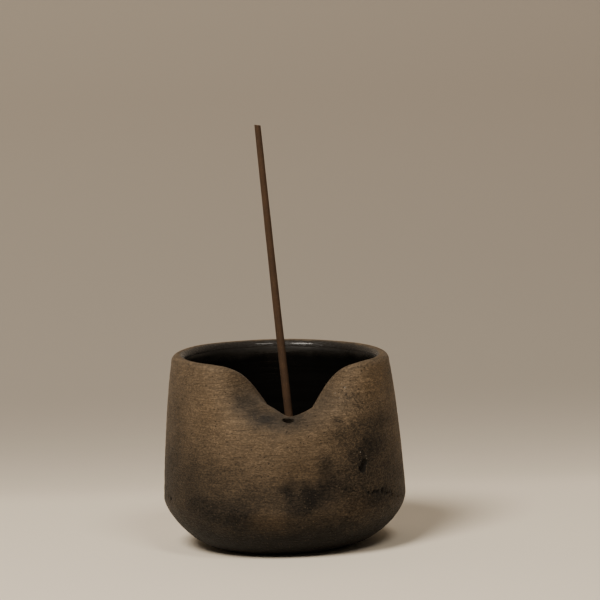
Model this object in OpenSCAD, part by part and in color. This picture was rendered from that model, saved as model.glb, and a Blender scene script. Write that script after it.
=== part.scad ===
// Incense burner: a small wheel-thrown clay cup with a folded front lip.
// The fold is pierced twice; a plain paste stick stands in the rear hole over the bowl.
// Millimetres, +Z up, the folded lip faces -Y, the axis of the cup is the Z axis.

/* [Cup] */
// Height of the rim above the table
cup_h = 65.3; // [58:0.1:74]
// Radius of the widest ring, low on the wall
widest_r = 41.2; // [38:0.1:45]
// Height of the widest ring
widest_z = 17; // [13:0.1:20]
// Radius of the rim, measured to the outside
rim_r = 37; // [34:0.1:40]
// Radius of the flat foot
foot_r = 22; // [21:0.1:28]
// Fullness of the curve between foot and widest ring
belly = 1.65; // [1.3:0.05:2]
// Fullness of the wall between widest ring and rim
swell = 0.4; // [0.2:0.01:0.8]
// Thickness of the wall
wall_t = 4.6; // [3.8:0.1:5]
// Thickness of the floor
floor_t = 4.8; // [4.5:0.1:6]
// How far the thrown rim runs out of level, side to side
rim_run_x = -0.8; // [-1.2:0.1:1.2]
// How far the thrown rim runs out of level, front to back
rim_run_y = 0.8; // [-1.2:0.1:1.2]
// Depth of the trimmed recess under the foot
recess_h = 0.8; // [0.4:0.1:1.2]
// Width of the flat ring left standing round the recess
foot_ring = 4; // [3:0.1:7]

/* [Folded lip] */
// Angle the front of the rim is folded in and down
fold_angle = 87; // [80:1:90]
// Distance over which the fold dies away along the clay
fold_reach = 29.4; // [28:0.1:31]
// Sideways offset of the fold from the front
fold_x = 2.8; // [0:0.1:4]
// Distance in front of the axis of the line the clay turns about
fold_hinge_y = -34.7; // [-35:0.1:-34]
// Height of the line the clay turns about
fold_hinge_z = 39.6; // [39:0.1:40]
// Distance over which the thumb press on the fold dies away
thumb_reach = 13.6; // [13:0.1:15]

/* [Holes] */
// Radius of both pierced holes
hole_r = 2.05; // [1.9:0.05:2.2]
// Place of the front hole, sideways
front_hole_x = 2; // [1:0.1:3]
// Place of the front hole, distance in front of the axis
front_hole_y = -34.6; // [-35:0.1:-34]
// Height at which the front hole is placed, inside the thickness of the fold
front_hole_z = 46; // [45:0.1:47]
// Lean of the front hole away from upright, towards the front
front_hole_lean = 28; // [22:1:32]

/* [Glaze] */
// Thickness of the glaze coat inside the cup
glaze_t = 0.5; // [0.4:0.05:0.8]

/* [Stick] */
// Length of the incense stick
stick_l = 139; // [120:1:160]
// Radius of the stick at its foot
stick_r = 1.35; // [1.1:0.05:1.5]
// Radius of the stick at its tip
stick_tip_r = 1.05; // [0.9:0.05:1.3]
// Length of the even part that passes through the hole
stick_even_l = 55; // [45:1:70]
// Lean of the stick to the left
stick_lean_x = 4.3; // [3:0.1:5]
// Lean of the stick back over the bowl
stick_lean_y = 6; // [5:0.5:7]
// Place of the rear hole, sideways
rear_hole_x = 2.5; // [1.5:0.1:3]
// Place of the rear hole, distance in front of the axis
rear_hole_y = -18; // [-19:0.1:-17.5]
// Height of the stick axis at the rear hole
rear_hole_z = 46; // [45:0.1:47]

/* [Hidden] */
part_cols = 76;
crowd = 0.6;
rim_round = wall_t / 2;
edge_z = cup_h - rim_round;
lip_point = [fold_x, wall_t - rim_r, edge_z];
fold_hinge = [0, fold_hinge_y, fold_hinge_z];
thumb_point = [5, -27.6, 47];
thumb_move = [-3, -3.1, -2.2];
floor_r = 22.5;
bowl_curve = 1.7;
// Distance from the rear hole down to the foot of the stick.
stick_drop = 40.5;
clay_tan = [0.50, 0.40, 0.29];
glaze_black = [0.06, 0.055, 0.05];
paste_brown = [0.26, 0.17, 0.10];

// Rows run from 0 at the widest ring to 1 at the edge of the rim, closer where the clay folds.
wall_rows = concat([for (i = [0:4]) 0.11 * i], [for (i = [1:16]) 0.44 + 0.035 * i]);
belly_rows = [for (i = [0:6]) i / 7];

function unit(v) = v / norm(v);

// Eased fall-off: 1 at the pressed point, 0 at the end of its reach.
function ease(d, reach) =
    let (f = max(0, min(1, 1 - d / reach)))
    f * f * f * (f * (6 * f - 15) + 10);

// Columns crowd together at the front, where the lip is folded.
function col_angle(i) =
    let (u = 360 * i / part_cols)
    -90 + u - crowd * (180 / PI) * sin(u);

function wall_r(z) =
    let (t = (z - widest_z) / (edge_z - widest_z))
    widest_r - (widest_r - rim_r) * (swell * t + (1 - swell) * t * t);

function belly_r(z) =
    foot_r + (widest_r - foot_r) * pow(1 - pow(1 - z / widest_z, belly), 1 / belly);

// The inside of the thrown wall before the lip is touched.
function thrown(t, a) =
    let (z = widest_z + t * (edge_z - widest_z), r = wall_r(z) - wall_t)
    [r * cos(a), r * sin(a), z + t * (rim_run_x * cos(a) + rim_run_y * sin(a))];

// The fold: clay near the front of the rim turns about a level line.
function folded(p) =
    let (
        a = -fold_angle * ease(norm(p - lip_point), fold_reach),
        q = p - fold_hinge
    )
    fold_hinge + [q.x, q.y * cos(a) - q.z * sin(a), q.y * sin(a) + q.z * cos(a)];

// The thumb press that squares the ledge and deepens the valley.
function pressed(p) = p + thumb_move * ease(norm(p - thumb_point), thumb_reach);

function inside(t, a) = pressed(folded(thrown(t, a)));

function up_the_wall(t, a) = unit(inside(t + 0.004, a) - inside(t - 0.004, a));

function outward(t, a) =
    unit(cross(inside(t, a + 0.3) - inside(t, a - 0.3), up_the_wall(t, a)));

// A point of the folded wall; depth 0 is the inside face, wall_t the outside face.
function wall_point(t, a, depth) = inside(t, a) + depth * outward(t, a);

// A point on the rounded edge of the rim; k = 0 is outside, 180 is inside.
function rim_point(a, k) =
    let (n = outward(1, a), u = up_the_wall(1, a))
    inside(1, a) + rim_round * (n * (1 + cos(k)) + u * sin(k));

function ring_at(r, z) = [for (i = [0:part_cols - 1]) let (a = col_angle(i)) [r * cos(a), r * sin(a), z]];

// Radius of the inside of the cup between floor and widest ring.
function bowl_r(z, depth) =
    let (
        z0 = floor_t + depth,
        r1 = widest_r - wall_t - depth,
        u = (widest_z - z) / (widest_z - z0)
    )
    floor_r + (r1 - floor_r) * pow(1 - pow(u, bowl_curve), 1 / bowl_curve);

function bowl_rings(depth) =
    let (z0 = floor_t + depth)
    [for (i = [len(belly_rows) - 1:-1:0])
        let (z = z0 + (widest_z - z0) * belly_rows[i] * belly_rows[i])
        ring_at(bowl_r(z, depth), z)];

function outer_rings() = concat(
    [for (f = belly_rows) let (z = widest_z * f * f) ring_at(belly_r(z), z)],
    [for (t = wall_rows) [for (i = [0:part_cols - 1]) wall_point(t, col_angle(i), wall_t)]]
);

function inner_rings(depth) = concat(
    [for (j = [len(wall_rows) - 1:-1:0])
        [for (i = [0:part_cols - 1]) wall_point(wall_rows[j], col_angle(i), -depth)]],
    bowl_rings(depth)
);

function rim_rings() =
    [for (k = [36, 72, 108, 144]) [for (i = [0:part_cols - 1]) rim_point(col_angle(i), k)]];

// The coat runs up the clay, turns over at the rim and comes back down inside.
function glaze_rings() =
    let (
        clay_side = inner_rings(0),
        bowl_side = inner_rings(glaze_t),
        n = len(clay_side)
    )
    concat([for (j = [n - 1:-1:0]) clay_side[j]], bowl_side);

// A closed skin over a list of rings, with a flat cap over the first and last.
module skin(rings) {
    n = part_cols;
    last = len(rings) - 1;
    points = [for (ring = rings) for (p = ring) p];
    sides = [for (j = [0:last - 1]) for (i = [0:n - 1]) for (half = [0, 1])
        let (
            k = (i + 1) % n,
            p = j * n + i,
            q = j * n + k,
            r = (j + 1) * n + k,
            s = (j + 1) * n + i
        )
        half == 0 ? [p, r, q] : [p, s, r]];
    first_cap = [for (i = [0:n - 1]) i];
    last_cap = [for (i = [n - 1:-1:0]) last * n + i];
    polyhedron(points, concat([first_cap], sides, [last_cap]), convexity = 8);
}

module along_stick() {
    translate([rear_hole_x, rear_hole_y, rear_hole_z])
        rotate([0, -stick_lean_x, 0])
            rotate([-stick_lean_y, 0, 0])
                children();
}

module front_hole() {
    translate([front_hole_x, front_hole_y, front_hole_z])
        rotate([front_hole_lean, 0, 0])
            translate([0, 0, -8])
                cylinder(r = hole_r, h = 14, $fn = 48);
}

module rear_hole() {
    along_stick()
        translate([0, 0, -9])
            cylinder(r = hole_r, h = 16, $fn = 48);
}

module clay_body() {
    color(clay_tan)
        difference() {
            skin(concat(outer_rings(), rim_rings(), inner_rings(0)));
            translate([0, 0, -1])
                cylinder(r = foot_r - foot_ring, h = 1 + recess_h, $fn = 96);
            front_hole();
            rear_hole();
        }
}

module glaze_lining() {
    color(glaze_black)
        difference() {
            skin(glaze_rings());
            front_hole();
            rear_hole();
        }
}

module incense_stick() {
    color(paste_brown)
        along_stick()
            translate([0, 0, -stick_drop]) {
                cylinder(r = stick_r, h = stick_even_l, $fn = 48);
                translate([0, 0, stick_even_l])
                    cylinder(r1 = stick_r, r2 = stick_tip_r, h = stick_l - stick_even_l, $fn = 48);
            }
}

clay_body();
glaze_lining();
incense_stick();
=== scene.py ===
import math
import random

import bpy
import numpy as np
from mathutils import Matrix, Vector, noise


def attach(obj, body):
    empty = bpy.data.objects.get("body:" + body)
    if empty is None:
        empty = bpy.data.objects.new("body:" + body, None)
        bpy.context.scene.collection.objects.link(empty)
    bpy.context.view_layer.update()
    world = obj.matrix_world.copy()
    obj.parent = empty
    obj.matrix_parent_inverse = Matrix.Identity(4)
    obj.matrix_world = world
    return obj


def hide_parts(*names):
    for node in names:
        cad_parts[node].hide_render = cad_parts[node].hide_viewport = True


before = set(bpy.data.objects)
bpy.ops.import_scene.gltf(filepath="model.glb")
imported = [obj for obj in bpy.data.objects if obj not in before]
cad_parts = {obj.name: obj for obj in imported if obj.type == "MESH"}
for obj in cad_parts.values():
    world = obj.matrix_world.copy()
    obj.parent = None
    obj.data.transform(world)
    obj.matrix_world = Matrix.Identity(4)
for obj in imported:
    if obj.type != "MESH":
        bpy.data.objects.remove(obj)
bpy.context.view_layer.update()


# --- Table and backdrop ------------------------------------------------------------------
# A plain pale sheet that lies flat under the cup and sweeps up behind it, as in a small
# studio. It is only the set; nothing of it belongs to the incense burner.

sheet_half_width = 4.0
sheet_front = -4.0
sweep_start = 0.13
sweep_radius = 0.14
wall_height = 1.1
sheet_pale = (0.88, 0.785, 0.64, 1)
# The grey that the sheet is painted where it lies in shade, far from the light.
sheet_shaded = (0.29, 0.252, 0.207, 1)

bpy.ops.object.select_all(action="DESELECT")
sweep = [(sheet_front, 0.0)]
sweep += [(sweep_start + sweep_radius * math.sin(a), sweep_radius * (1 - math.cos(a)))
          for a in [math.radians(5 * k) for k in range(19)]]
sweep += [(sweep_start + sweep_radius, wall_height)]
bpy.ops.mesh.primitive_grid_add(x_subdivisions=1, y_subdivisions=len(sweep) - 1, size=1)
sheet = bpy.context.active_object
sheet.name = "studio_sheet"
for v in sheet.data.vertices:
    y, z = sweep[round((v.co.y + 0.5) * (len(sweep) - 1))]
    v.co = (2 * sheet_half_width * v.co.x, y, z)
bpy.ops.object.shade_smooth()


def put(tree, kind, inputs=None, **settings):
    """Adds a node. Each input is a plain value, or the socket that feeds it."""
    made = tree.nodes.new(kind)
    for name, value in settings.items():
        setattr(made, name, value)
    for name, value in (inputs or {}).items():
        if isinstance(value, bpy.types.NodeSocket):
            tree.links.new(value, made.inputs[name])
        else:
            made.inputs[name].default_value = value
    return made


def number(tree, operation, a, b=0.0, clamp=False):
    return put(tree, "ShaderNodeMath", {0: a, 1: b}, operation=operation, use_clamp=clamp).outputs[0]


def ramp(tree, value, low, high, out_low=0.0, out_high=1.0):
    """A soft step from out_low to out_high while the value goes from low to high."""
    return put(tree, "ShaderNodeMapRange", {0: value, 1: low, 2: high, 3: out_low, 4: out_high},
               interpolation_type="SMOOTHSTEP").outputs[0]


def mix(tree, share, a, b, how="MIX"):
    """Lays one colour over another; each is a plain colour or a socket."""
    return put(tree, "ShaderNodeMix", {0: share, 6: a, 7: b}, data_type="RGBA", blend_type=how).outputs[2]


def new_material(name, roughness, specular):
    """A plain material, with its node tree, its shader and the place on the piece in millimetres."""
    made = bpy.data.materials.new(name)
    made.use_nodes = True
    shader = made.node_tree.nodes["Principled BSDF"]
    shader.inputs["Roughness"].default_value = roughness
    shader.inputs["Specular IOR Level"].default_value = specular
    place = put(made.node_tree, "ShaderNodeMapping",
                {"Vector": put(made.node_tree, "ShaderNodeTexCoord").outputs["Object"],
                 "Scale": (1000, 1000, 1000)}).outputs[0]
    return made, made.node_tree, shader, place


def finish_with(piece, material):
    piece.data.materials.clear()
    piece.data.materials.append(material)


paper, tree, shader, place = new_material("pale_sheet", 0.9, 0.2)
back = put(tree, "ShaderNodeSeparateXYZ", {0: place}).outputs["Y"]
# Painted shade: the pale floor fades to grey with distance, as the light falls off, most of it before the
# sweep is upright.
floor_shade = ramp(tree, back, 95, 215, 0, 0.92)
wall_shade = ramp(tree, back, 180, 270, 0, 0.08)
painted_falloff = number(tree, "ADD", floor_shade, wall_shade)
tree.links.new(mix(tree, painted_falloff, sheet_pale, sheet_shaded), shader.inputs["Base Color"])
# The sheet is clear from behind, so that it doesn't hide the cup in a view from the back.
behind = put(tree, "ShaderNodeNewGeometry").outputs["Backfacing"]
tree.links.new(number(tree, "SUBTRACT", 1.0, behind), shader.inputs["Alpha"])
finish_with(sheet, paper)


# --- Clay cup ----------------------------------------------------------------------------
# One cup of coarse clay, thrown on the wheel and trimmed at the foot. While it was soft the
# front of the rim was folded in and down, and the fold was pierced twice with a round tool.
# The outside is burnished and smoke-fired, which leaves it tan with dark clouds.

mm = 0.001
widest_r = 41.2 * mm
widest_z = 17.0 * mm
rim_r = 37.0 * mm
cup_h = 65.3 * mm
foot_r = 22.0 * mm
wall_t = 4.6 * mm
floor_t = 4.8 * mm
floor_r = 22.5 * mm
belly = 1.65
bowl_curve = 1.7
swell = 0.4
recess_h = 0.8 * mm
recess_r = 18.0 * mm
edge_z = cup_h - wall_t / 2
rim_run = np.array([-0.8, 0.8]) * mm

fold_point = np.array([2.8, -32.4, 63.0]) * mm
fold_hinge = np.array([0.0, -34.7, 39.6]) * mm
fold_angle = math.radians(87)
fold_reach = 29.4 * mm
thumb_point = np.array([5.0, -27.6, 47.0]) * mm
thumb_move = np.array([-3.0, -3.1, -2.2]) * mm
thumb_reach = 13.6 * mm


def ease(distance, reach):
    f = np.clip(1 - distance / reach, 0, 1)
    return f ** 3 * (f * (6 * f - 15) + 10)


def wall_radius(z):
    t = (z - widest_z) / (edge_z - widest_z)
    return widest_r - (widest_r - rim_r) * (swell * t + (1 - swell) * t * t)


def thrown_inside(t, a):
    z = widest_z + t * (edge_z - widest_z)
    r = wall_radius(z) - wall_t
    run = t * (rim_run[0] * np.cos(a) + rim_run[1] * np.sin(a))
    return np.stack([r * np.cos(a), r * np.sin(a), z + run], -1)


def folded_inside(t, a):
    p = thrown_inside(t, a)
    turn = -fold_angle * ease(np.linalg.norm(p - fold_point, axis=-1), fold_reach)
    q = p - fold_hinge
    c, s = np.cos(turn), np.sin(turn)
    p = fold_hinge + np.stack([q[:, 0], q[:, 1] * c - q[:, 2] * s, q[:, 1] * s + q[:, 2] * c], -1)
    return p + thumb_move * ease(np.linalg.norm(p - thumb_point, axis=-1), thumb_reach)[:, None]


def wall_place(surface, t, a, depth, rise):
    dt, da = 0.004, 0.005
    up = surface(t + dt, a) - surface(t - dt, a)
    along = surface(t, a + da) - surface(t, a - da)
    out = np.cross(along, up)
    up /= np.linalg.norm(up, axis=1)[:, None]
    out /= np.linalg.norm(out, axis=1)[:, None]
    return surface(t, a) + out * depth[:, None] + up * rise[:, None]


def read_points(mesh):
    flat = np.empty(len(mesh.vertices) * 3)
    mesh.vertices.foreach_get("co", flat)
    return flat.reshape(-1, 3)


def write_points(mesh, points):
    mesh.vertices.foreach_set("co", points.ravel())
    mesh.update()


def fold_lip(piece):
    """Moves every point of a thrown piece with the wall that it is part of."""
    p = read_points(piece.data)
    r = np.hypot(p[:, 0], p[:, 1])
    a = np.arctan2(p[:, 1], p[:, 0])
    t = np.clip((p[:, 2] - widest_z) / (edge_z - widest_z), 0, 1)
    depth = r - (wall_radius(widest_z + t * (edge_z - widest_z)) - wall_t)
    rise = np.maximum(p[:, 2] - edge_z, 0)
    depth = np.where(p[:, 2] < widest_z, 0, depth)
    before = wall_place(thrown_inside, t, a, depth, rise)
    after = wall_place(folded_inside, t, a, depth, rise)
    run = t * (rim_run[0] * np.cos(a) + rim_run[1] * np.sin(a))
    p[:, 2] += run
    write_points(piece.data, p + after - before)


def throw(name, section, steps):
    """Turns a section, given as (radius, height) points, round the axis of the wheel."""
    bpy.ops.object.select_all(action="DESELECT")
    bpy.ops.mesh.primitive_circle_add(vertices=len(section))
    piece = bpy.context.active_object
    piece.name = piece.data.name = name
    for v, (r, z) in zip(piece.data.vertices, section):
        v.co = (0, -r, z)
    # The ring's last edge runs along the axis and is not part of the section.
    for part in (piece.data.vertices, piece.data.edges):
        part.foreach_set("select", [False] * len(part))
    for e in piece.data.edges:
        e.select = set(e.vertices) == {0, len(section) - 1}
    bpy.ops.object.mode_set(mode="EDIT")
    bpy.ops.mesh.select_mode(type="EDGE")
    bpy.ops.mesh.delete(type="EDGE")
    bpy.ops.object.mode_set(mode="OBJECT")
    wheel = piece.modifiers.new("wheel", "SCREW")
    wheel.steps = wheel.render_steps = steps
    wheel.use_merge_vertices = True
    wheel.merge_threshold = 0.000002
    bpy.ops.object.modifier_apply(modifier=wheel.name)
    bpy.ops.object.mode_set(mode="EDIT")
    bpy.ops.mesh.select_all(action="SELECT")
    bpy.ops.mesh.remove_doubles(threshold=0.000002)
    bpy.ops.mesh.normals_make_consistent(inside=False)
    bpy.ops.object.mode_set(mode="OBJECT")
    return piece


def belly_radius(z):
    return foot_r + (widest_r - foot_r) * max(0, 1 - (1 - z / widest_z) ** belly) ** (1 / belly)


def bowl_radius(z, coat=0.0):
    low = floor_t + coat
    u = (widest_z - z) / (widest_z - low)
    reach = widest_r - wall_t - coat - floor_r
    return floor_r + reach * max(0, 1 - u ** bowl_curve) ** (1 / bowl_curve)


def spread(low, high, count):
    return [low + (high - low) * k / count for k in range(count)]


section = [(0, recess_h)] + [(r, recess_h) for r in spread(2 * mm, recess_r - 0.6 * mm, 10)]
section += [(recess_r - 0.4 * mm, recess_h * 0.9), (recess_r, recess_h * 0.3), (recess_r + 0.5 * mm, 0)]
section += [(r, 0) for r in spread(recess_r + 1.2 * mm, foot_r, 6)]
section += [(belly_radius(widest_z * f * f), widest_z * f * f) for f in spread(0.02, 1, 50)]
section += [(wall_radius(z), z) for z in spread(widest_z, edge_z, 104)]
section += [(rim_r - wall_t / 2 * (1 - math.cos(a)), edge_z + wall_t / 2 * math.sin(a))
            for a in spread(0, math.pi, 16)]
section += [(wall_radius(z) - wall_t, z) for z in spread(edge_z, widest_z, 20)]
section += [(bowl_radius(z), z) for z in [floor_t + (widest_z - floor_t) * f * f for f in spread(1, 0, 10)]]
section += [(r, floor_t) for r in spread(floor_r, 2 * mm, 5)] + [(0, floor_t)]
cup_steps = 372
cup = throw("clay_cup", section, cup_steps)

# Two marks that stay with the clay when it is folded: what is outside, and how far a point
# of the rim lies towards the inside, where the thin edge of the glaze runs.
points = read_points(cup.data)
r, z = np.hypot(points[:, 0], points[:, 1]), points[:, 2]
middle = np.where(z > widest_z, wall_radius(z) - wall_t / 2,
                  np.where(z > floor_t, r + 1, 0))
low = (z > floor_t) & (z <= widest_z)
middle[low] = [(belly_radius(h) + bowl_radius(h)) / 2 for h in z[low]]
round_rim = np.degrees(np.arctan2(z - edge_z, r - (rim_r - wall_t / 2)))
marks = {"outer": (r > middle) | (z > edge_z),
         "inward": np.where(z > edge_z, np.clip(round_rim / 180, 0, 1), 0)}
for name, values in marks.items():
    cup.data.attributes.new(name, "FLOAT", "POINT").data.foreach_set("value", values.astype(np.float32))
fold_lip(cup)


front_hole = Vector((2.0, -34.6, 46.0)) * mm
front_hole_lean = math.radians(28)
rear_hole = Vector((2.5, -18.0, 46.0)) * mm
stick_lean_x = math.radians(4.3)
stick_lean_y = math.radians(6)
hole_r = 2.05 * mm
front_way = Vector((0, -math.sin(front_hole_lean), math.cos(front_hole_lean)))
stick_way = Vector((-math.cos(stick_lean_y) * math.sin(stick_lean_x), math.sin(stick_lean_y),
                    math.cos(stick_lean_y) * math.cos(stick_lean_x)))


def from_axis(p, place, way):
    """Distance of each point from a line, and its height along it."""
    q = p - np.array(place)
    along = q @ np.array(way)
    return np.linalg.norm(q - along[:, None] * np.array(way), axis=1), along


def on_wall(degrees, height):
    """The place on the outside of the thrown wall, in millimetres."""
    a, h = math.radians(degrees), height * mm
    r = (wall_radius(h) if h > widest_z else belly_radius(h)) / mm
    return Vector((r * math.cos(a), r * math.sin(a), height))


def open_up(chosen, cuts):
    """Divides the faces that are marked, so that they can take finer detail."""
    bpy.ops.object.mode_set(mode="EDIT")
    bpy.ops.mesh.select_mode(type="FACE")
    bpy.ops.mesh.select_all(action="DESELECT")
    bpy.ops.object.mode_set(mode="OBJECT")
    cup.data.polygons.foreach_set("select", chosen)
    bpy.ops.object.mode_set(mode="EDIT")
    bpy.ops.mesh.subdivide(number_cuts=cuts, smoothness=0)
    bpy.ops.object.mode_set(mode="OBJECT")


def tear_height(x):
    """Height of the ragged line where the trimming tool stopped; it drops away to the right."""
    return np.interp(x, (-42, -30, 0, 20, 31, 42), (21, 20, 21.5, 23.2, 20.7, 16.4))


# The clay round each hole, round the cluster of burnt-out pits and along the tear is finer.
burst = on_wall(-49.5, 30.6)
centres = np.array([tuple(f.center) for f in cup.data.polygons])
bearing = np.degrees(np.arctan2(centres[:, 1], centres[:, 0]))
near = np.linalg.norm(centres / mm - np.array(burst), axis=1) < 4.2
near |= (abs(centres[:, 2] / mm - tear_height(centres[:, 0] / mm)) < 1.7) & (abs(bearing + 28) < 30) \
    & (np.hypot(centres[:, 0], centres[:, 1]) > 37.5 * mm)
for place, way in ((front_hole, front_way), (rear_hole, stick_way)):
    far, along = from_axis(centres, place, way)
    near |= (far < 3.6 * mm) & (along > -2 * mm) & (along < 6 * mm)
open_up(near, 2)

# Relief of the outside, in millimetres: the slow unevenness of the hand, rings from the wheel,
# strokes of the burnishing stone and coarse grit. The belly is also trimmed back a little, and
# it stands a little to one side of the foot.
hand_lift, ring_lift, stroke_lift, grit_lift = 0.15, 0.045, 0.03, 0.03
belly_trim, belly_aside = 0.25, 0.5
points = read_points(cup.data)
outer = np.empty(len(points))
cup.data.attributes["outer"].data.foreach_get("value", outer)
normals = np.empty(len(points) * 3)
cup.data.vertices.foreach_get("normal", normals)
normals = normals.reshape(-1, 3)
lift = np.zeros(len(points))
lean = np.zeros(len(points))
for k, p in enumerate(points):
    if outer[k] < 0.5:
        continue
    v = Vector(p) / mm
    hand = noise.fractal(v * 0.045, 1.0, 2.0, 2)
    ring = noise.noise(Vector((v.x * 0.02, v.y * 0.02, v.z * 0.6)))
    stroke = noise.noise(Vector((v.x * 0.25, v.y * 0.25, v.z * 1.3)))
    grit = noise.noise(v * 0.75)
    lift[k] = hand_lift * hand + ring_lift * ring + stroke_lift * stroke + grit_lift * grit
    if p[2] < widest_z:
        lean[k] = max(0, math.sin(math.pi * p[2] / widest_z))
    lift[k] -= belly_trim * lean[k]

# Pits where grit fell out or a scrap of straw burnt away: a burst of them low on the right,
# and single small ones all over. Each has a place, a radius and a depth.
straw = random.Random(11)
aside = Vector((0.755, 0.656, 0))
upward = Vector((0, 0, 1))
burst_pits = ((0.75, 0.8, 1.5, 0.7), (-0.25, -1.1, 1.8, 0.75), (0.55, -0.4, 0.9, 0.3),
              (-1.3, -0.9, 0.7, 0.5), (-1.2, 1.9, 0.5, 0.4), (-0.9, 4.6, 0.55, 0.4))
pits = [(burst + aside * along + upward * rise, size, depth) for along, rise, size, depth in burst_pits]
small_burst_pits, scattered_pits = 26, 420
for k in range(small_burst_pits):
    drift = aside * straw.gauss(0, 2.6) + upward * straw.gauss(2.6, 2.4)
    pits.append((burst + drift, straw.uniform(0.3, 0.5), straw.uniform(0.12, 0.3)))
for k in range(scattered_pits):
    pits.append((on_wall(straw.uniform(-180, 180), straw.uniform(3, 60)), straw.uniform(0.38, 0.62),
                 straw.uniform(0.05, 0.2)))
# Chips torn out along the trimming line: most of them on the right, a few at the far left.
right_chips, left_chips = 40, 18
for k in range(right_chips + left_chips):
    on_right = k < right_chips
    x = straw.triangular(17, 41, 34) if on_right else -straw.uniform(38.5, 41)
    chip_degrees = -math.degrees(math.acos(x * mm / widest_r))
    chip = on_wall(chip_degrees, tear_height(x) + straw.gauss(0, 0.6 if on_right else 2.0))
    pits.append((chip, straw.uniform(0.3, 0.75), straw.uniform(0.08, 0.36)))
pitted = np.zeros(len(points))
for pit, size, depth in pits:
    far = np.linalg.norm(points / mm - np.array(pit), axis=1)
    pitted += depth * outer * np.clip(1 - (far / size) ** 2, 0, 1)
lift -= pitted
# Painted shade: the deeper a pit or chip, the darker its inside is painted.
pit_shade = np.clip(pitted / 0.3, 0, 1)
cup.data.attributes.new("pit_shade", "FLOAT", "POINT").data.foreach_set("value", pit_shade.astype(np.float32))

# The tool pushed a low soft lip of clay up round the front hole.
far, along = from_axis(points, front_hole, front_way)
lift += 0.16 * np.exp(-((far / mm - 2.75) / 0.55) ** 2) * (along > -0.5 * mm)
points += normals * (lift * mm)[:, None]
points[:, 0] += belly_aside * mm * lean
write_points(cup.data, points)


def pierce(piece, name, place, way, flat):
    """Pushes the round tool through a piece; flat is how deep the hole is for its width."""
    bpy.ops.object.select_all(action="DESELECT")
    bpy.ops.mesh.primitive_cylinder_add(vertices=48, radius=hole_r, depth=16 * mm, location=(0, 0, 0))
    tool = bpy.context.active_object
    for v in tool.data.vertices:
        a = math.atan2(v.co.y, v.co.x)
        wobble = 1 + 0.03 * math.sin(2 * a + 0.6) + 0.025 * math.sin(5 * a + place.y * 90)
        v.co.x *= wobble
        v.co.y *= wobble * flat
    turn = way.to_track_quat("Z", "Y").to_matrix().to_4x4()
    tool.data.transform(Matrix.Translation(place - way * 1.5 * mm) @ turn)
    cut = piece.modifiers.new("pierce_" + name, "BOOLEAN")
    cut.operation = "DIFFERENCE"
    cut.solver = "EXACT"
    cut.object = tool
    bpy.ops.object.select_all(action="DESELECT")
    bpy.context.view_layer.objects.active = piece
    piece.select_set(True)
    bpy.ops.object.modifier_apply(modifier=cut.name)
    bpy.data.objects.remove(tool)


front_flat = 0.84
pierce(cup, "front", front_hole, front_way, front_flat)
pierce(cup, "rear", rear_hole, stick_way, 1.0)
bpy.ops.object.shade_smooth_by_angle(angle=math.radians(50))
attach(cup, "burner")
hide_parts("clay_body")


def new_group(name, inputs, output):
    """Starts a shader node group with named sockets."""
    made = bpy.data.node_groups.new(name, "ShaderNodeTree")
    for socket, kind, value in inputs:
        given = made.interface.new_socket(socket, in_out="INPUT", socket_type="NodeSocket" + kind)
        given.default_value = value
    made.interface.new_socket(output, in_out="OUTPUT", socket_type="NodeSocketFloat")
    return made, made.nodes.new("NodeGroupInput").outputs, made.nodes.new("NodeGroupOutput").inputs[0]


def vector(tree, operation, a, b):
    return put(tree, "ShaderNodeVectorMath", {0: a, 1: b}, operation=operation).outputs[0]


def grain_of(tree, place, scale, detail=2.0, stretch=(1, 1, 1), roughness=0.5):
    """Noise from 0 to 1; scale is in features per millimetre."""
    return put(tree, "ShaderNodeTexNoise", {"Vector": vector(tree, "MULTIPLY", place, stretch),
                                            "Scale": scale, "Detail": detail, "Roughness": roughness})


# One soft-edged cloud of smoke: full at its centre and gone at one and a half times its spread.
cloud_group, given, mask = new_group(
    "Smoke cloud", (("Position", "Vector", (0, 0, 0)), ("Centre", "Vector", (0, 0, 0)),
                    ("Spread", "Vector", (1, 1, 1)), ("Weight", "Float", 1)), "Mask")
offset = vector(cloud_group, "SUBTRACT", given["Position"], given["Centre"])
offset = vector(cloud_group, "DIVIDE", offset, given["Spread"])
length = put(cloud_group, "ShaderNodeVectorMath", {0: offset}, operation="LENGTH").outputs["Value"]
soft = ramp(cloud_group, length, 1.5, 0.2)
cloud_group.links.new(number(cloud_group, "MULTIPLY", soft, given["Weight"]), mask)

# Lines of fine grit drawn out by the tool, or fibres, with sharp light and dark dashes.
grain_group, given, mask = new_group(
    "Drawn grain", (("Position", "Vector", (0, 0, 0)), ("Stretch", "Vector", (1, 1, 1))), "Mask")
drawn = vector(grain_group, "MULTIPLY", given["Position"], given["Stretch"])
fine = grain_of(grain_group, drawn, 1.0, 3.0, roughness=0.65)
grain_group.links.new(ramp(grain_group, fine.outputs[0], 0.3, 0.7), mask)

# Specks: scattered small dots, few of which reach full strength.
speck_group, given, mask = new_group(
    "Specks", (("Position", "Vector", (0, 0, 0)), ("Scale", "Float", 1),
               ("Share", "Float", 0.3), ("Size", "Float", 0.3)), "Mask")
cells = put(speck_group, "ShaderNodeTexVoronoi", {"Vector": given["Position"], "Scale": given["Scale"]})
chosen = put(speck_group, "ShaderNodeSeparateColor", {0: cells.outputs["Color"]}).outputs[0]
core = number(speck_group, "MULTIPLY", given["Size"], 0.5)
dot = ramp(speck_group, cells.outputs["Distance"], given["Size"], core)
kept = number(speck_group, "LESS_THAN", chosen, given["Share"])
speck_group.links.new(number(speck_group, "MULTIPLY", dot, kept), mask)


def use(tree, group, inputs):
    return put(tree, "ShaderNodeGroup", inputs, node_tree=group).outputs[0]


def clouds(tree, place, listed):
    """Adds up soft clouds, each given as (centre, spread, weight) in millimetres."""
    total = 0.0
    for centre, spread_out, weight in listed:
        total = number(tree, "ADD", total, use(tree, cloud_group, {"Position": place, "Centre": centre,
                                                                   "Spread": spread_out, "Weight": weight}))
    return total


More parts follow.
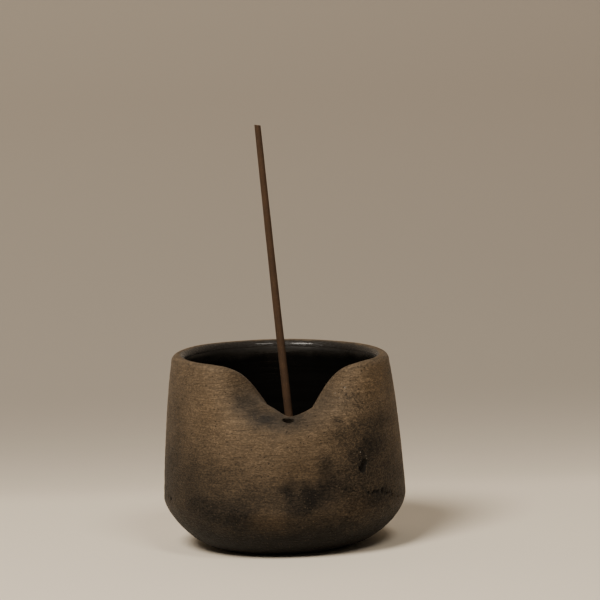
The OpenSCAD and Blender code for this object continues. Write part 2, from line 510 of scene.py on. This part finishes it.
clay_tan = (0.118, 0.0830, 0.0500, 1)
clay_brown = (0.0720, 0.0502, 0.0297, 1)
clay_dark = (0.0395, 0.0284, 0.0178, 1)
clay_sooty = (0.0190, 0.0143, 0.0096, 1)
clay_black = (0.0048, 0.0038, 0.0027, 1)
clay_rust = (0.118, 0.07, 0.028, 1)
smoke_grey = (0.023, 0.0195, 0.0158, 1)
glaze_thin = (0.022, 0.019, 0.016, 1)
grit_pale = (0.17, 0.125, 0.08, 1)
# Pale grey of the painted glints on the glassy sparks.
glint_grey = (0.34, 0.30, 0.25, 1)

clay, tree, shader, place = new_material("smoked_clay", 0.7, 0.12)

# Smoke drifts: the clouds are drawn at places that wander by some millimetres.
drifted = place
for scale, roughness, reach in ((0.075, 0.6, 9), (0.42, 0.5, 3)):
    wander = grain_of(tree, place, scale, 3.0, roughness=roughness).outputs[1]
    wander = vector(tree, "SUBTRACT", wander, (0.5, 0.5, 0.5))
    drifted = put(tree, "ShaderNodeVectorMath", {0: wander, 1: (reach, reach, reach), 2: drifted},
                  operation="MULTIPLY_ADD").outputs[0]

# Black clouds of smoke, and one cloud of painted shade inside the front hole. Those with a weight below
# zero are places where the clay stayed paler.
soot_and_shade = clouds(tree, drifted, [
    (on_wall(-50, 37), (11, 11, 7), 0.3), (on_wall(-50, 33), (5, 5, 6), 0.16),
    (on_wall(-38, 37), (7, 7, 3.5), 0.32), (on_wall(-36, 44), (15, 15, 4), 0.28),
    (on_wall(-62, 42), (5, 4, 4), 0.28), (on_wall(-60, 47), (2.5, 2, 1.6), 0.4),
    (on_wall(-80, 22.5), (4, 4, 4), 0.22), (on_wall(-88, 24), (2.6, 4, 3.6), 0.34),
    (on_wall(-84, 18), (5, 4, 2.6), 0.24), (on_wall(-75, 23.5), (4.5, 5, 4), 0.36),
    (on_wall(-70, 31), (3, 3.5, 6), 0.3), (on_wall(-42, 19.5), (9, 9, 2), 0.34),
    (on_wall(-60, 26), (9, 7, 8), 0.2), (on_wall(-46, 20), (17, 17, 9), 0.05),
    (on_wall(-132, 18), (11, 9, 5), 0.24), (on_wall(-116, 15), (12, 5, 4), 0.22),
    (on_wall(-160, 38), (10, 14, 15), 0.3), (on_wall(-55, 18), (8, 8, 4), -0.06),
    (on_wall(-100, 14), (6, 5, 6), -0.12), (on_wall(-70, 14), (6, 4, 4), -0.1),
    (on_wall(-101, 27), (11, 6, 6), -0.1), (on_wall(-34, 38), (14, 14, 15), 0.2),
    (on_wall(-155, 56), (9, 12, 9), 0.12), (on_wall(-135, 36), (8, 8, 12), 0.2),
    # The cloud of full weight at (2, -34.6, 41.8) lies inside the front hole: it is painted shade on the
    # walls of the bore.
    (on_wall(-50, 53), (5, 5, 4), 0.2), ((2, -34.6, 41.8), (2.6, 2.6, 2.6), 1.0),
    (on_wall(30, 42), (20, 20, 14), 0.45), (on_wall(75, 30), (14, 10, 9), 0.3),
    (on_wall(120, 34), (18, 14, 18), 0.4), (on_wall(160, 52), (12, 14, 8), 0.35)])

# The soot settles in the grain, more so on the coarse right side, and the clay is made darker towards the
# bottom.
dashes = use(tree, grain_group, {"Position": place, "Stretch": (0.7, 0.7, 2.0)})
grit = use(tree, grain_group, {"Position": place, "Stretch": (1.25, 1.25, 2.5)})
squiggles = use(tree, grain_group, {"Position": drifted, "Stretch": (1.0, 1.0, 1.5)})
coarse_side = ramp(tree, put(tree, "ShaderNodeSeparateXYZ", {0: place}).outputs["X"], 8, 26)
levels = put(tree, "ShaderNodeSeparateXYZ", {0: drifted}).outputs["Z"]
mottle = number(tree, "SUBTRACT", grain_of(tree, place, 0.13, 4.0, roughness=0.6).outputs[0], 0.5)
fleck = number(tree, "SUBTRACT", grain_of(tree, place, 0.9, 3.0).outputs[0], 0.5)
for share in (ramp(tree, dashes, 0, 1, -0.12, 0.12),
              ramp(tree, grit, 0, 1, -0.14, 0.14),
              number(tree, "MULTIPLY", coarse_side, ramp(tree, squiggles, 0, 1, -0.22, 0.16)),
              ramp(tree, levels, 42, 20, 0, 0.5),
              ramp(tree, levels, 20, 2, 0, 0.45),
              ramp(tree, levels, 11, 3, 0, 0.25),
              number(tree, "MULTIPLY", mottle, 0.4),
              number(tree, "MULTIPLY", fleck, 0.32)):
    soot_and_shade = number(tree, "ADD", soot_and_shade, share)
soot_and_shade = number(tree, "ADD", soot_and_shade, 0.05, clamp=True)
tones = put(tree, "ShaderNodeValToRGB", {0: soot_and_shade})
stops = tones.color_ramp.elements
stops[0].color, stops[1].color = clay_tan, clay_black
for at, colour in ((0.25, clay_brown), (0.5, clay_dark), (0.75, clay_sooty)):
    stops.new(at).color = colour
colour = tones.outputs[0]

# Where the fire had more air, the clay is a little redder.
rust = clouds(tree, drifted, [
    (on_wall(-36, 57), (9, 9, 5), 0.7), (on_wall(-98, 13), (8, 6, 5), 0.25),
    (on_wall(-55, 18), (8, 8, 4), 0.25), (on_wall(-22, 60), (7, 9, 6), 0.5),
    (on_wall(-128, 52), (7, 7, 9), 0.35), (on_wall(-82, 30), (9, 6, 5), 0.35)])
reddened = mix(tree, 0.5, colour, clay_rust)
colour = mix(tree, number(tree, "MULTIPLY", rust, 0.6, clamp=True), colour, reddened)

# Grey smoke of the burning stick lies on the fold, round the holes and up both shoulders.
fold_smoke = clouds(tree, drifted, [
    ((-11, -30, 53), (6, 6, 6), 0.85), ((0, -34, 46.5), (10, 8, 4.2), 0.85),
    ((-8, -34, 47.5), (6, 5, 4), 0.5), ((13, -28, 54), (5, 7, 8), 0.45),
    ((8, -34, 47), (6, 6, 4), 0.2)])
colour = mix(tree, number(tree, "MULTIPLY", fold_smoke, 0.9, clamp=True), colour, smoke_grey)

# The grain: dashes and lines from the wheel, scratches, and dark and pale specks of grit.
colour = mix(tree, 1.0, colour, ramp(tree, grit, 0, 1, 1.05, 0.95), "MULTIPLY")
lines = use(tree, grain_group, {"Position": place, "Stretch": (0.16, 0.16, 2.0)})
colour = mix(tree, 1.0, colour, ramp(tree, dashes, 0, 1, 0.7, 1.3), "MULTIPLY")
colour = mix(tree, 1.0, colour, ramp(tree, lines, 0, 1, 0.84, 1.16), "MULTIPLY")
scratch = ramp(tree, grain_of(tree, place, 1.0, 2.0, (0.1, 0.1, 2.3)).outputs[0], 0.6, 0.7)
colour = mix(tree, number(tree, "MULTIPLY", scratch, 0.3), colour, clay_sooty)
dark_specks = use(tree, speck_group, {"Position": place, "Scale": 0.75, "Share": 0.4, "Size": 0.25})
colour = mix(tree, number(tree, "MULTIPLY", dark_specks, 0.8), colour, clay_sooty)
elsewhere = vector(tree, "ADD", place, (31, 7, 13))
pale_specks = use(tree, speck_group, {"Position": elsewhere, "Scale": 1.1, "Share": 0.3, "Size": 0.3})
colour = mix(tree, number(tree, "MULTIPLY", pale_specks, 0.24), colour, grit_pale)

# A few glassy sparks on the right shoulder and round the burst of pits. They are glossy, and their pale
# grey colour is a painted highlight, the glint of the light on them.
spark_and_glint_places = clouds(tree, drifted, [
    ((18, -30.5, 57.5), (4, 6, 6), 1.0), (on_wall(-51, 33.5), (2.6, 2.6, 3), 0.7)])
sparks = use(tree, speck_group, {"Position": place, "Scale": 0.95, "Share": 0.4, "Size": 0.26})
sparks_and_glints = number(tree, "MULTIPLY", spark_and_glint_places, sparks, clamp=True)
colour = mix(tree, sparks_and_glints, colour, glint_grey)

# Pits and chips are painted black inside as shade, the more so the deeper they are, and the thin edge of
# the glaze runs over the rim.
pit_shade_fac = put(tree, "ShaderNodeAttribute", attribute_name="pit_shade").outputs["Fac"]
colour = mix(tree, ramp(tree, pit_shade_fac, 0.1, 0.8, 0, 0.95), colour, clay_black)
inward = put(tree, "ShaderNodeAttribute", attribute_name="inward").outputs["Fac"]
edge = number(tree, "ADD", inward, number(tree, "MULTIPLY", mottle, 0.35))
glazed = ramp(tree, edge, 0.54, 0.72)
colour = mix(tree, glazed, colour, glaze_thin)
tree.links.new(colour, shader.inputs["Base Color"])
rough = number(tree, "ADD", ramp(tree, dashes, 0, 1, 0.58, 0.74), number(tree, "MULTIPLY", mottle, 0.25))
rough = number(tree, "SUBTRACT", rough, number(tree, "MULTIPLY", glazed, 0.42))
tree.links.new(rough, shader.inputs["Roughness"])
shine = number(tree, "ADD", sparks_and_glints, number(tree, "MULTIPLY", glazed, 0.3), clamp=True)
tree.links.new(shine, shader.inputs["Coat Weight"])
shader.inputs["Coat Roughness"].default_value = 0.12
shader.inputs["Sheen Weight"].default_value = 0.03
shader.inputs["Sheen Roughness"].default_value = 0.45
relief = number(tree, "ADD", number(tree, "MULTIPLY", dashes, 0.5), number(tree, "MULTIPLY", grit, 0.7))
relief = number(tree, "SUBTRACT", relief, number(tree, "MULTIPLY", dark_specks, 0.9))
relief = number(tree, "SUBTRACT", relief, number(tree, "MULTIPLY", scratch, 0.6))
bump = put(tree, "ShaderNodeBump", {"Strength": 0.8, "Distance": 0.00014, "Height": relief})
tree.links.new(bump.outputs[0], shader.inputs["Normal"])
finish_with(cup, clay)


# --- Glaze lining ------------------------------------------------------------------------
# A glossy black glaze poured inside the cup before the firing. It is melted to the clay and
# thins to nothing on the inner edge of the rim.

coat = 0.5 * mm
section = [(r, floor_t) for r in spread(0, floor_r, 6)]
section += [(bowl_radius(z), z) for z in [floor_t + (widest_z - floor_t) * f * f for f in spread(0, 1, 10)]]
section += [(wall_radius(z) - wall_t, z) for z in spread(widest_z, edge_z - 0.2 * mm, 40)]
section += [(wall_radius(z) - wall_t - coat * min(1, 0.1 + (edge_z - z) / (1.4 * mm)), z)
            for z in spread(edge_z - 0.1 * mm, widest_z, 60)]
section += [(bowl_radius(z, coat), z)
            for z in [floor_t + coat + (widest_z - floor_t - coat) * f * f for f in spread(1, 0, 24)]]
section += [(r, floor_t + coat) for r in spread(floor_r, 1 * mm, 10)] + [(0, floor_t + coat)]
lining_steps = 280
lining = throw("glaze_coat", section, lining_steps)
fold_lip(lining)
pierce(lining, "front", front_hole, front_way, front_flat)
pierce(lining, "rear", rear_hole, stick_way, 1.0)
bpy.ops.object.shade_smooth_by_angle(angle=math.radians(50))
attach(lining, "burner")
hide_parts("glaze_lining")

glaze_black = (0.0032, 0.0030, 0.0026, 1)
glaze_ring = (0.0075, 0.0068, 0.0058, 1)
# Grey-brown of the glaze breaking thin at the rim, with a painted sheen.
glaze_breaking_sheen = (0.024, 0.0205, 0.0165, 1)

glaze, tree, shader, place = new_material("black_glaze", 0.14, 0.5)
height = put(tree, "ShaderNodeSeparateXYZ", {0: place}).outputs["Z"]
cloudy = grain_of(tree, place, 0.16, 3.0).outputs[0]
rings = use(tree, grain_group, {"Position": place, "Stretch": (0.015, 0.015, 0.4)})
# Near the rim the glaze is painted a lighter grey-brown: partly the glaze breaking thin there, partly
# painted sheen, the reflection of the light where the wall curves over into the rim.
thin = ramp(tree, number(tree, "ADD", height, number(tree, "MULTIPLY", cloudy, 3.0)), 61, 65)
worn = use(tree, grain_group, {"Position": place, "Stretch": (0.5, 0.5, 1.2)})
breaking_and_sheen = number(tree, "MULTIPLY", thin, ramp(tree, worn, 0, 1, 0.6, 1.0))
colour = mix(tree, breaking_and_sheen, glaze_black, glaze_breaking_sheen)
colour = mix(tree, number(tree, "MULTIPLY", rings, 0.35), colour, glaze_ring)
tree.links.new(colour, shader.inputs["Base Color"])
rough = number(tree, "ADD", ramp(tree, cloudy, 0.3, 0.7, 0.10, 0.2), number(tree, "MULTIPLY", thin, 0.2))
tree.links.new(rough, shader.inputs["Roughness"])
relief = number(tree, "ADD", number(tree, "MULTIPLY", rings, 0.8), cloudy)
bump = put(tree, "ShaderNodeBump", {"Strength": 0.5, "Distance": 0.0001, "Height": relief})
tree.links.new(bump.outputs[0], shader.inputs["Normal"])
finish_with(lining, glaze)


# --- Incense stick -----------------------------------------------------------------------
# A rod of brown paste, rolled and dried with no wood core, so it is a little bent and uneven.
# It stands in the rear hole with its foot on the floor of the bowl.

stick_l = 139 * mm
stick_drop = 40.5 * mm
stick_r = 1.35 * mm
stick_tip_r = 1.05 * mm
stick_sides = 28
stick_rings = 160
taper_from = 0.4
bow = 0.25 * mm
tip_slant = 0.25
bpy.ops.object.select_all(action="DESELECT")
bpy.ops.mesh.primitive_cylinder_add(vertices=stick_sides, radius=stick_r, depth=stick_l,
                                    location=(0, 0, stick_l / 2))
rod = bpy.context.active_object
rod.name = "paste_stick"
bpy.ops.object.transform_apply(location=True)
bpy.ops.object.mode_set(mode="EDIT")
for k in range(1, stick_rings):
    bpy.ops.mesh.select_all(action="SELECT")
    bpy.ops.mesh.bisect(plane_co=(0, 0, stick_l * k / stick_rings), plane_no=(0, 0, 1))
bpy.ops.object.mode_set(mode="OBJECT")
for v in rod.data.vertices:
    h = v.co.z / stick_l
    thin = 1 - (1 - stick_tip_r / stick_r) * max(0, (h - taper_from) / (1 - taper_from))
    lump = 1 + 0.025 * noise.noise(Vector((v.co.x / mm * 0.5, v.co.y / mm * 0.5, v.co.z / mm * 0.12)))
    bend = bow * math.sin(math.pi * h)
    v.co.x = v.co.x * thin * lump - bend
    v.co.y = v.co.y * thin * lump
    if h > 0.999:
        v.co.z -= tip_slant * (stick_tip_r + v.co.x + bend)
to_hole = Matrix.Translation(rear_hole) @ Matrix.Rotation(-stick_lean_x, 4, "Y") \
    @ Matrix.Rotation(-stick_lean_y, 4, "X") @ Matrix.Translation((0, 0, -stick_drop))
rod.data.transform(to_hole)
bpy.ops.object.shade_smooth_by_angle(angle=math.radians(50))
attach(rod, "stick")
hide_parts("incense_stick")

paste_brown = (0.050, 0.0255, 0.0115, 1)
paste_dark = (0.023, 0.0120, 0.0058, 1)
paste_pale = (0.074, 0.0410, 0.0205, 1)
paste_speck = (0.125, 0.075, 0.042, 1)

paste, tree, shader, place = new_material("incense_paste", 0.85, 0.25)
fibres = use(tree, grain_group, {"Position": place, "Stretch": (1.6, 1.6, 0.5)})
powder = use(tree, grain_group, {"Position": place, "Stretch": (2.6, 2.6, 2.2)})
patches = grain_of(tree, place, 0.2, 3.0).outputs[0]
colour = mix(tree, ramp(tree, patches, 0.3, 0.7, 0, 0.6), paste_brown, paste_dark)
colour = mix(tree, number(tree, "MULTIPLY", fibres, 0.45), colour, paste_pale)
colour = mix(tree, number(tree, "MULTIPLY", powder, 0.35), colour, paste_dark)
specks = use(tree, speck_group, {"Position": place, "Scale": 1.6, "Share": 0.25, "Size": 0.3})
colour = mix(tree, number(tree, "MULTIPLY", specks, 0.6), colour, paste_speck)
tree.links.new(colour, shader.inputs["Base Color"])
tree.links.new(ramp(tree, fibres, 0, 1, 0.78, 0.92), shader.inputs["Roughness"])
relief = number(tree, "ADD", fibres, number(tree, "MULTIPLY", powder, 0.7))
bump = put(tree, "ShaderNodeBump", {"Strength": 0.8, "Distance": 0.00008, "Height": relief})
tree.links.new(bump.outputs[0], shader.inputs["Normal"])
finish_with(rod, paste)


# --- Light and camera --------------------------------------------------------------------
# One soft light to the left, in front of and above the cup, a weaker one on the right, and a
# faint glow all round. The camera stands a long way off and looks a little down.

def soft_light(name, place, target, size, power, colour):
    data = bpy.data.lights.new(name, "AREA")
    data.shape = "DISK"
    data.size = size
    data.energy = power
    data.color = colour
    light = bpy.data.objects.new(name, data)
    light.location = place
    light.rotation_euler = (Vector(target) - Vector(place)).to_track_quat("-Z", "Y").to_euler()
    bpy.context.collection.objects.link(light)


def from_bearing(bearing, height, far):
    """A place round the cup: the bearing is 0 in front and negative to the left."""
    b, h = math.radians(bearing), math.radians(height)
    return (far * math.cos(h) * math.sin(b), -far * math.cos(h) * math.cos(b), 0.03 + far * math.sin(h))


lamp_white = (1, 0.93, 0.84)
lamp_far = 1.3
cup_middle = (0, 0, 0.03)
soft_light("key", from_bearing(-32, 47, lamp_far), cup_middle, 0.5, 18.3, lamp_white)
soft_light("fill", from_bearing(24, 50, lamp_far), cup_middle, 0.4, 4.8, lamp_white)
world = bpy.data.worlds.new("room")
world.use_nodes = True
glow = world.node_tree.nodes["Background"]
glow.inputs["Color"].default_value = (1, 0.96, 0.92, 1)
glow.inputs["Strength"].default_value = 0.05
bpy.context.scene.world = world

camera_far = 1.2
camera_target_z = 0.0315
camera_up = math.radians(8.415)
look_down = math.radians(5.961)
look_right = math.radians(0.36)
camera_roll = math.radians(1.991)
camera_lens = 210.88
film_width = 36
eye = Vector((0, -camera_far * math.cos(camera_up), camera_target_z + camera_far * math.sin(camera_up)))
ahead = Vector((math.sin(look_right) * math.cos(look_down), math.cos(look_right) * math.cos(look_down),
                -math.sin(look_down)))
camera_data = bpy.data.cameras.new("camera")
camera_data.lens = camera_lens
camera_data.sensor_width = film_width
camera = bpy.data.objects.new("camera", camera_data)
turn = ahead.to_track_quat("-Z", "Y").to_matrix().to_4x4() @ Matrix.Rotation(-camera_roll, 4, "Z")
camera.matrix_world = Matrix.Translation(eye) @ turn
bpy.context.collection.objects.link(camera)
bpy.context.scene.camera = camera

bpy.context.view_layer.update()
